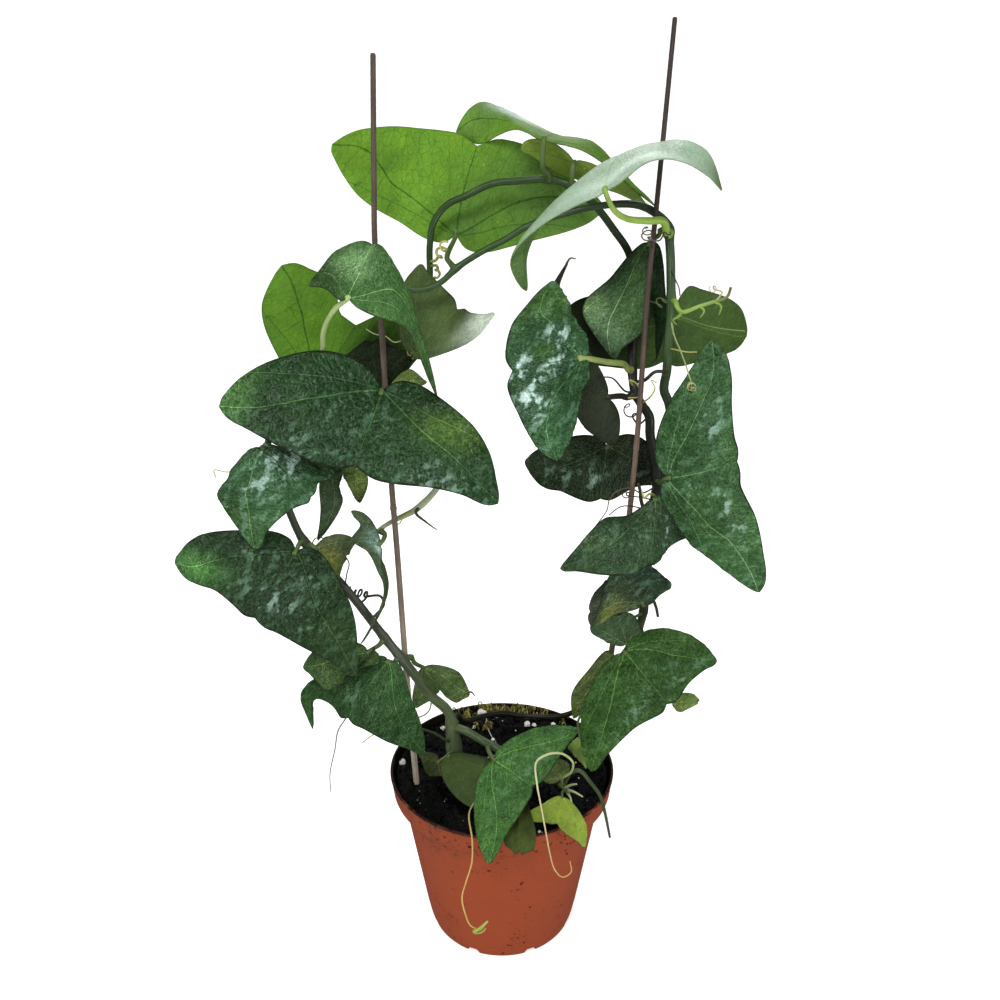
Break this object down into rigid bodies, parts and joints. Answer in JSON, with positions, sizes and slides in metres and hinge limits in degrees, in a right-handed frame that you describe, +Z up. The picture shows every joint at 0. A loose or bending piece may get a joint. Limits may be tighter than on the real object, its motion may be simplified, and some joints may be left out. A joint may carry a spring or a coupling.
{
  "type": "potted climbing passion vine",
  "caption": "Potted climbing vine with glossy two-lobed leaves, trained over thin upright stakes in a small terracotta-coloured nursery pot filled with peat",
  "frame": {"origin": "centre of the pot's foot, on the surface it stands on", "axes": "+Z up, +X to the right seen from the front, -Y towards the viewer"},
  "size_m": [0.2684, 0.1332, 0.4564],
  "materials": {
    "pot_plastic": "satin terracotta-coloured nursery-pot plastic with specks of peat",
    "peat": "moist black peat with white perlite",
    "stake_wood": "thin weathered stake, pale at the foot and dark brown at the top",
    "stem_dark": "living stem, dark green to nearly black, satin",
    "stem_green": "young living stem, light green, satin",
    "leaf_dark": "living leaf, dark blue-green, glossy with a blistered surface",
    "leaf_green": "living leaf, mid green, glossy with pale veins",
    "leaf_light": "living leaf, bright yellow-green where the light comes through"
  },
  "bodies": {
    "root": {"pot": "pot_plastic", "soil": "peat", "stake_left": "stake_wood", "stake_right": "stake_wood", "vine_left": "stem_dark", "vine_arch": "stem_dark", "vine_outer": "stem_dark", "shoot_front": "stem_green", "shoot_left": "stem_green", "shoot_right": "stem_green", "leaf_crest_broad": "leaf_light", "leaf_crest_back": "leaf_light", "leaf_crest_edge": "leaf_green", "leaf_crest_long": "leaf_green", "leaf_left_backlit": "leaf_light", "leaf_left_drooping": "leaf_dark", "leaf_left_shaded": "leaf_dark", "leaf_left_broad": "leaf_dark", "leaf_left_dark": "leaf_dark", "leaf_left_lobed": "leaf_green", "leaf_left_shiny": "leaf_dark", "leaf_left_wide": "leaf_dark", "leaf_left_tucked": "leaf_green", "leaf_left_low": "leaf_dark", "leaf_left_small": "leaf_green", "leaf_left_strap": "leaf_dark", "leaf_left_folded": "leaf_dark", "leaf_left_olive": "leaf_green", "leaf_right_blistered": "leaf_dark", "leaf_right_brown": "leaf_dark", "leaf_right_cupped": "leaf_dark", "leaf_right_back": "leaf_green", "leaf_right_long": "leaf_dark", "leaf_right_dark": "leaf_dark", "leaf_right_middle": "leaf_dark", "leaf_right_young": "leaf_dark", "leaf_right_tucked": "leaf_dark", "leaf_right_rolled": "leaf_dark", "leaf_right_low": "leaf_green", "leaf_right_bronze": "leaf_dark", "leaf_right_tiny": "leaf_light", "leaf_pot_front": "leaf_green", "leaf_pot_shaded": "leaf_dark", "leaf_pot_lip": "leaf_dark", "leaf_pot_new": "leaf_light", "leaf_pot_bud": "leaf_light", "leaf_pot_side": "leaf_light", "leaf_pot_left": "leaf_dark"}
  },
  "joints": []
}
